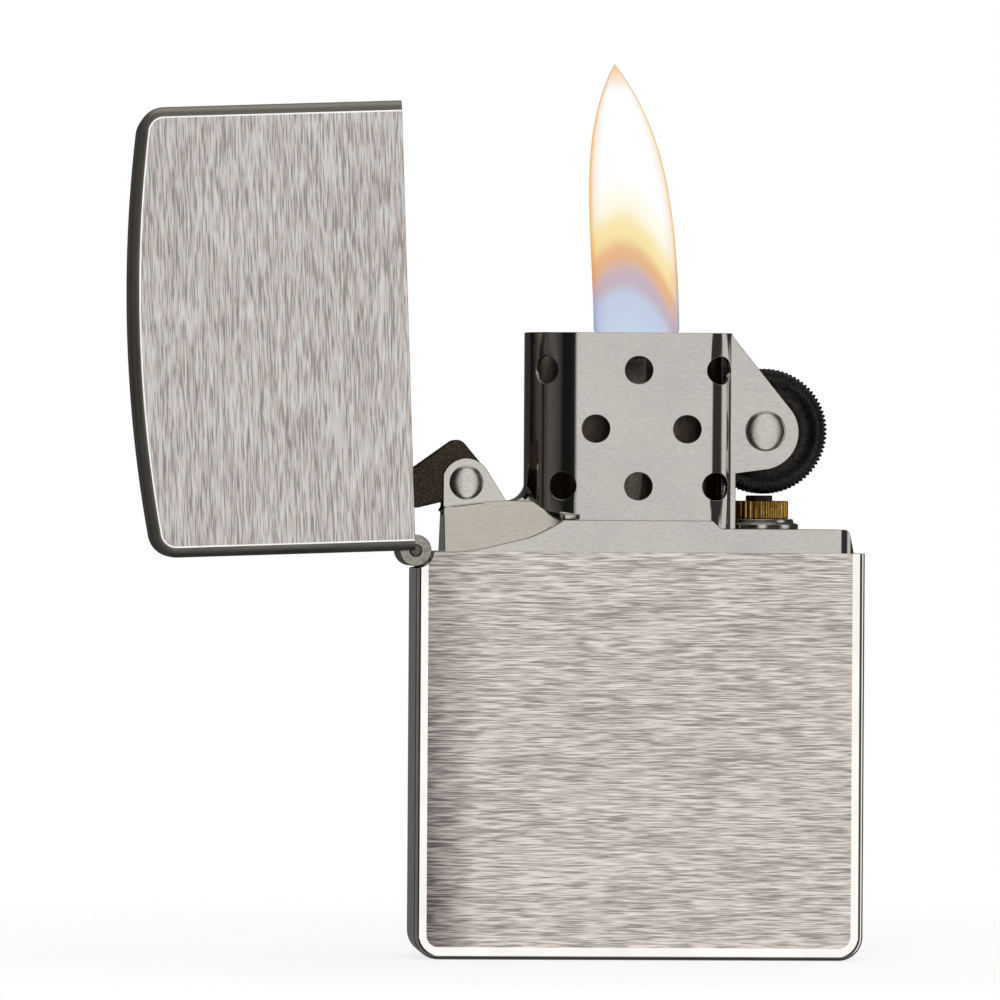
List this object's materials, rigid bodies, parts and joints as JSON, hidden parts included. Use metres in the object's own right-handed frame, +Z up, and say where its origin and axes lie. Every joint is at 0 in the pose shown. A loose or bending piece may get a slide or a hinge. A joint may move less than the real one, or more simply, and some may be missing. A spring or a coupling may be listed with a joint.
{
  "type": "windproof petrol lighter",
  "caption": "Pocket petrol lighter with a sprung flip-top lid, a pierced chimney, a sparking wheel over a sprung flint and a lift-out insert.",
  "frame": {"origin": "centre of the flat face that the lighter stands on", "axes": "+Z up, +X away from the hinge, +Y from the front face to the back face"},
  "size_m": [0.0607, 0.0126, 0.0706],
  "materials": {
    "chromed_case": "brushed faces, polished rounded edges",
    "hinge_steel": "bright plated steel",
    "insert_steel": "satin rolled sheet, bright at the bends",
    "blackened_steel": "heat-blackened, finely pitted",
    "wheel_steel": "hardened and blackened, knurled",
    "spring_steel": "spring temper",
    "brass": "turned and fluted",
    "flint_alloy": "pressed ferrocerium, dull",
    "wick_cotton": "braided cotton with fine copper strands",
    "packing_cotton": "loose cotton wool",
    "felt": "pressed wool felt",
    "flame": "luminous gas, yellow-white above a pale blue root"
  },
  "bodies": {
    "case": {"case_body": "chromed_case", "case_hinge_leaf": "hinge_steel", "hinge_pin": "hinge_steel"},
    "lid": {"lid_shell": "chromed_case", "lid_hinge_leaf": "hinge_steel"},
    "insert": {"insert_shell": "insert_steel", "cam_rivet": "insert_steel", "cam_spring": "spring_steel", "cam_spring_rivet": "spring_steel", "wheel_rivet": "insert_steel", "flint_tube": "brass", "tube_flange": "insert_steel", "tube_collar": "brass", "flint": "flint_alloy", "wick": "wick_cotton", "felt_pad": "felt", "packing_ball_1": "packing_cotton", "packing_ball_2": "packing_cotton", "packing_ball_3": "packing_cotton", "packing_ball_4": "packing_cotton", "packing_ball_5": "packing_cotton"},
    "cam": {"cam": "blackened_steel"},
    "wheel": {"flint_wheel": "wheel_steel"},
    "screw": {"flint_screw": "brass", "flint_spring": "spring_steel", "spring_tip": "brass"}
  },
  "joints": [
    {"name": "lid_hinge", "type": "hinge", "parent": "case", "child": "lid", "pos_m": [-0.0185, 0, 0.0336], "axis": [0, -1, 0], "range_deg": [-92.1, 18]},
    {"name": "insert_lift", "type": "slide", "parent": "case", "child": "insert", "axis": [0, 0, 1], "range_m": [0, 0.003]},
    {"name": "cam_pivot", "type": "hinge", "parent": "insert", "child": "cam", "pos_m": [-0.0142, 0, 0.0392], "axis": [0, -1, 0], "range_deg": [-70, 14]},
    {"name": "wheel_spin", "type": "hinge", "parent": "insert", "child": "wheel", "pos_m": [0.01045, 0, 0.0436], "axis": [0, 1, 0], "continuous": true},
    {"name": "screw_turn", "type": "hinge", "parent": "insert", "child": "screw", "pos_m": [0.0102, 0, 0.0016], "axis": [0, 0, -1], "range_deg": [0, 1080]}
  ],
  "couplings": [
    {"joint": "cam_pivot", "follows": "lid_hinge", "ratio": 0.76}
  ]
}
